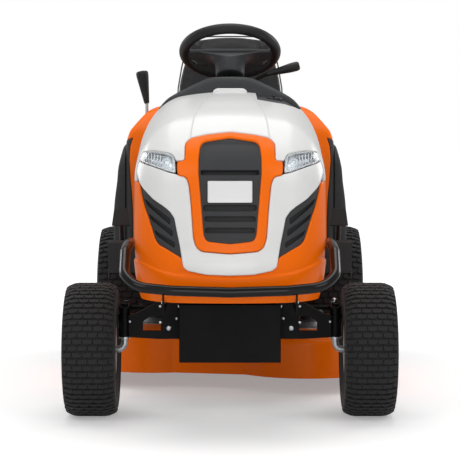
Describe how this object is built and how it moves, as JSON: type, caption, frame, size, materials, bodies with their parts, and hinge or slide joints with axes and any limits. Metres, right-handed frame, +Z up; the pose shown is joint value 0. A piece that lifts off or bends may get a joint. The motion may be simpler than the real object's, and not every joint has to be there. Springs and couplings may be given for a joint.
{
  "type": "lawn tractor",
  "caption": "Ride-on lawn tractor with a tilting hood, tubular bumper, steered front axle, lifting mowing deck and a padded seat between rear fenders.",
  "frame": {"origin": "centre of the bottom of the bounding box, on the ground under the tractor", "axes": "+X to the driver's left, +Y towards the rear, +Z up; the tractor faces -Y"},
  "size_m": [0.996, 1.8423, 1.1297],
  "materials": {
    "white_paint": "gloss white paint over moulded panels",
    "orange_paint": "gloss orange paint",
    "dark_plastic": "grained dark grey moulding",
    "black_steel": "semi-gloss black powder coat on steel",
    "black_plastic": "grained black moulding",
    "cast_aluminium": "as-cast alloy",
    "zinc_steel": "zinc-plated steel",
    "rubber": "black rubber",
    "rim_paint": "light grey wheel enamel",
    "vinyl": "black vinyl over foam",
    "clear_lens": "clear polished lens",
    "tank_plastic": "translucent natural moulding"
  },
  "bodies": {
    "chassis": {"frame": "black_steel", "front_plate": "black_steel", "bumper_bar": "black_steel", "engine_block": "cast_aluminium", "blower_housing": "black_plastic", "muffler": "zinc_steel", "fuel_tank": "tank_plastic", "dash_console": "dark_plastic", "footboard_left": "dark_plastic", "footboard_right": "dark_plastic", "rear_body": "orange_paint", "side_cover_left": "dark_plastic", "side_cover_right": "dark_plastic", "transaxle_housing": "cast_aluminium", "traction_belt": "rubber", "seat_hinge": "black_steel"},
    "hood": {"hood_top": "white_paint", "hood_nose": "orange_paint", "grille_wing": "white_paint", "grille_surround": "orange_paint", "centre_grille": "dark_plastic", "side_grille_left": "dark_plastic", "side_grille_right": "dark_plastic", "headlamp_left": "clear_lens", "headlamp_right": "clear_lens"},
    "fuel_cap_body": {"fuel_cap": "black_plastic"},
    "crank_pulley_body": {"crank_pulley": "black_steel"},
    "input_pulley_body": {"input_pulley": "black_steel"},
    "front_axle": {"front_axle_beam": "black_steel"},
    "spindle_left_body": {"spindle_left": "zinc_steel"},
    "spindle_right_body": {"spindle_right": "zinc_steel"},
    "tie_rod_body": {"tie_rod": "zinc_steel"},
    "drag_link_body": {"drag_link": "zinc_steel"},
    "sector": {"sector_gear": "black_steel"},
    "pinion": {"pinion_shaft": "black_steel"},
    "steering": {"steering_wheel": "black_plastic", "steering_shaft": "black_steel"},
    "front_wheel_left": {"front_rim_left": "rim_paint", "front_tyre_left": "rubber"},
    "front_wheel_right": {"front_rim_right": "rim_paint", "front_tyre_right": "rubber"},
    "rear_wheel_left": {"rear_rim_left": "rim_paint", "rear_tyre_left": "rubber"},
    "rear_wheel_right": {"rear_rim_right": "rim_paint", "rear_tyre_right": "rubber"},
    "lift_front": {"lift_arms_front": "black_steel"},
    "lift_rear": {"lift_arms_rear": "black_steel"},
    "deck": {"deck_shell": "orange_paint"},
    "deflector": {"discharge_deflector": "black_plastic"},
    "blade_left_body": {"blade_left": "black_steel"},
    "blade_right_body": {"blade_right": "black_steel"},
    "height_lever_body": {"height_lever": "black_plastic"},
    "seat": {"seat_pan": "black_plastic", "seat_cushion": "vinyl", "seat_backrest": "vinyl"},
    "drive_pedal_body": {"drive_pedal": "black_plastic"},
    "brake_pedal_body": {"brake_pedal": "black_plastic"},
    "parking_brake": {"parking_brake_lever": "black_plastic"},
    "key": {"ignition_key": "black_plastic"},
    "blade_switch": {"blade_knob": "orange_paint"}
  },
  "joints": [
    {"name": "hood_tilt", "type": "hinge", "parent": "chassis", "child": "hood", "pos_m": [0, -0.83725, 0.42], "axis": [1, 0, 0], "range_deg": [0, 55]},
    {"name": "fuel_cap_turn", "type": "hinge", "parent": "chassis", "child": "fuel_cap_body", "pos_m": [0.132, -0.16225, 0.89], "axis": [0, 0, 1], "continuous": true},
    {"name": "crank_spin", "type": "hinge", "parent": "chassis", "child": "crank_pulley_body", "pos_m": [0, -0.41725, 0.336], "axis": [0, 0, 1], "continuous": true},
    {"name": "input_spin", "type": "hinge", "parent": "chassis", "child": "input_pulley_body", "pos_m": [0, 0.58275, 0.336], "axis": [0, 0, 1], "continuous": true},
    {"name": "axle_rock", "type": "hinge", "parent": "chassis", "child": "front_axle", "pos_m": [0, -0.54725, 0.285], "axis": [0, 1, 0], "range_deg": [-7, 7]},
    {"name": "spindle_left_turn", "type": "hinge", "parent": "front_axle", "child": "spindle_left_body", "pos_m": [0.298, -0.54725, 0.189], "axis": [0, 0, 1], "range_deg": [-30, 30]},
    {"name": "spindle_right_turn", "type": "hinge", "parent": "front_axle", "child": "spindle_right_body", "pos_m": [-0.298, -0.54725, 0.189], "axis": [0, 0, 1], "range_deg": [-31, 31]},
    {"name": "tie_rod_swing", "type": "hinge", "parent": "spindle_left_body", "child": "tie_rod_body", "pos_m": [0.298, -0.45225, 0.297], "axis": [0, 0, 1], "range_deg": [-31, 31]},
    {"name": "drag_link_swing", "type": "hinge", "parent": "spindle_left_body", "child": "drag_link_body", "pos_m": [0.298, -0.48725, 0.275], "axis": [0, 0, 1], "range_deg": [-31, 31]},
    {"name": "sector_turn", "type": "hinge", "parent": "chassis", "child": "sector", "pos_m": [0, -0.15625, 0.316], "axis": [0, 0, 1], "range_deg": [-31, 31]},
    {"name": "pinion_turn", "type": "hinge", "parent": "chassis", "child": "pinion", "pos_m": [0, -0.22625, 0.316], "axis": [0, 0, 1], "range_deg": [-124, 124]},
    {"name": "steering_turn", "type": "hinge", "parent": "chassis", "child": "steering", "pos_m": [0, 0.07275, 1.043], "axis": [0, 0.4695, 0.8829], "range_deg": [-124, 124]},
    {"name": "front_wheel_left_spin", "type": "hinge", "parent": "spindle_left_body", "child": "front_wheel_left", "pos_m": [0.39, -0.54725, 0.189], "axis": [1, 0, 0], "continuous": true},
    {"name": "front_wheel_right_spin", "type": "hinge", "parent": "spindle_right_body", "child": "front_wheel_right", "pos_m": [-0.39, -0.54725, 0.189], "axis": [1, 0, 0], "continuous": true},
    {"name": "rear_wheel_left_spin", "type": "hinge", "parent": "chassis", "child": "rear_wheel_left", "pos_m": [0.35, 0.69275, 0.2285], "axis": [1, 0, 0], "continuous": true},
    {"name": "rear_wheel_right_spin", "type": "hinge", "parent": "chassis", "child": "rear_wheel_right", "pos_m": [-0.35, 0.69275, 0.2285], "axis": [1, 0, 0], "continuous": true},
    {"name": "deck_lift_front", "type": "hinge", "parent": "chassis", "child": "lift_front", "pos_m": [0, -0.02725, 0.325], "axis": [1, 0, 0], "range_deg": [0, 28]},
    {"name": "deck_lift_rear", "type": "hinge", "parent": "chassis", "child": "lift_rear", "pos_m": [0, 0.21275, 0.325], "axis": [1, 0, 0], "range_deg": [0, 28.5]},
    {"name": "deck_level", "type": "hinge", "parent": "lift_front", "child": "deck", "pos_m": [0, 0.09889, 0.29355], "axis": [1, 0, 0], "range_deg": [-28.5, 0.5]},
    {"name": "height_lever_pull", "type": "hinge", "parent": "chassis", "child": "height_lever_body", "pos_m": [-0.283, 0.52275, 0.7], "axis": [1, 0, 0], "range_deg": [-16.5, 0.5]},
    {"name": "blade_left_spin", "type": "hinge", "parent": "deck", "child": "blade_left_body", "pos_m": [0.24, 0.06375, 0.078], "axis": [0, 0, 1], "continuous": true},
    {"name": "blade_right_spin", "type": "hinge", "parent": "deck", "child": "blade_right_body", "pos_m": [-0.24, 0.18375, 0.078], "axis": [0, 0, 1], "continuous": true},
    {"name": "deflector_lift", "type": "hinge", "parent": "deck", "child": "deflector", "pos_m": [0, 0.44235, 0.1715], "axis": [1, 0, 0], "range_deg": [0, 50]},
    {"name": "seat_tilt", "type": "hinge", "parent": "chassis", "child": "seat", "pos_m": [0, 0.53975, 0.659], "axis": [1, 0, 0], "range_deg": [0, 45]},
    {"name": "drive_pedal_press", "type": "hinge", "parent": "chassis", "child": "drive_pedal_body", "pos_m": [-0.33, -0.07725, 0.41], "axis": [1, 0, 0], "range_deg": [0, 14], "stiffness_Nm_per_rad": 3, "springref_deg": -11.46},
    {"name": "brake_pedal_press", "type": "hinge", "parent": "chassis", "child": "brake_pedal_body", "pos_m": [0.33, -0.07725, 0.41], "axis": [1, 0, 0], "range_deg": [0, 14], "stiffness_Nm_per_rad": 3, "springref_deg": -11.46},
    {"name": "parking_brake_pull", "type": "hinge", "parent": "chassis", "child": "parking_brake", "pos_m": [0.071, 0.06275, 0.923], "axis": [0, -1, 0], "range_deg": [0, 15]},
    {"name": "key_turn", "type": "hinge", "parent": "chassis", "child": "key", "pos_m": [-0.13, 0.01495, 0.905], "axis": [0, 0.9419, 0.336], "range_deg": [0, 60]},
    {"name": "blade_knob_pull", "type": "slide", "parent": "chassis", "child": "blade_switch", "axis": [0, 0.9419, 0.336], "range_m": [0, 0.012]}
  ],
  "couplings": [
    {"joint": "spindle_right_turn", "follows": "spindle_left_turn", "ratio": 1},
    {"joint": "tie_rod_swing", "follows": "spindle_left_turn", "ratio": -1},
    {"joint": "drag_link_swing", "follows": "spindle_left_turn", "ratio": -1},
    {"joint": "sector_turn", "follows": "spindle_left_turn", "ratio": 1},
    {"joint": "pinion_turn", "follows": "spindle_left_turn", "ratio": -4},
    {"joint": "steering_turn", "follows": "spindle_left_turn", "ratio": -4},
    {"joint": "input_spin", "follows": "crank_spin", "ratio": 0.9134},
    {"joint": "deck_lift_rear", "follows": "deck_lift_front", "ratio": 1},
    {"joint": "deck_level", "follows": "deck_lift_front", "ratio": -1},
    {"joint": "height_lever_pull", "follows": "deck_lift_front", "ratio": -0.5714},
    {"joint": "blade_right_spin", "follows": "blade_left_spin", "ratio": -1}
  ]
}
